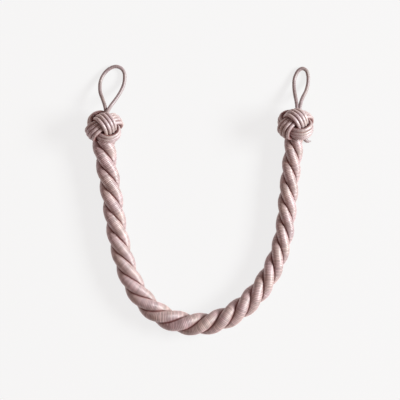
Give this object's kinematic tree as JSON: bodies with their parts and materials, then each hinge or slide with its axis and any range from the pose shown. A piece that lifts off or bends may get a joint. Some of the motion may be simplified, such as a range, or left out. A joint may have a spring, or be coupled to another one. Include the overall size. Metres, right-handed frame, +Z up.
{
  "type": "rope curtain tieback",
  "caption": "Rope curtain tieback lying in a U: thick twisted rope with a ball knot of wound cord and a hanging loop of thin cord at each end.",
  "frame": {"origin": "centre of the bounding box, on the surface that the tieback lies on", "axes": "+X across the U from the knot with the wide loop to the knot with the narrow loop, +Y from the bend to the loops, +Z up from the surface"},
  "size_m": [0.2601, 0.3113, 0.0424],
  "materials": {
    "rope_ply": "dusty pink cord wound closely round each ply, with a soft satin sheen",
    "knot_cord": "dusty pink round cord with a soft satin sheen"
  },
  "bodies": {
    "root": {"rope_ply_a": "rope_ply", "rope_ply_b": "rope_ply", "rope_ply_c": "rope_ply", "knot_left": "knot_cord", "knot_right": "knot_cord", "loop_left": "knot_cord", "loop_right": "knot_cord", "tail_right": "knot_cord"}
  },
  "joints": []
}
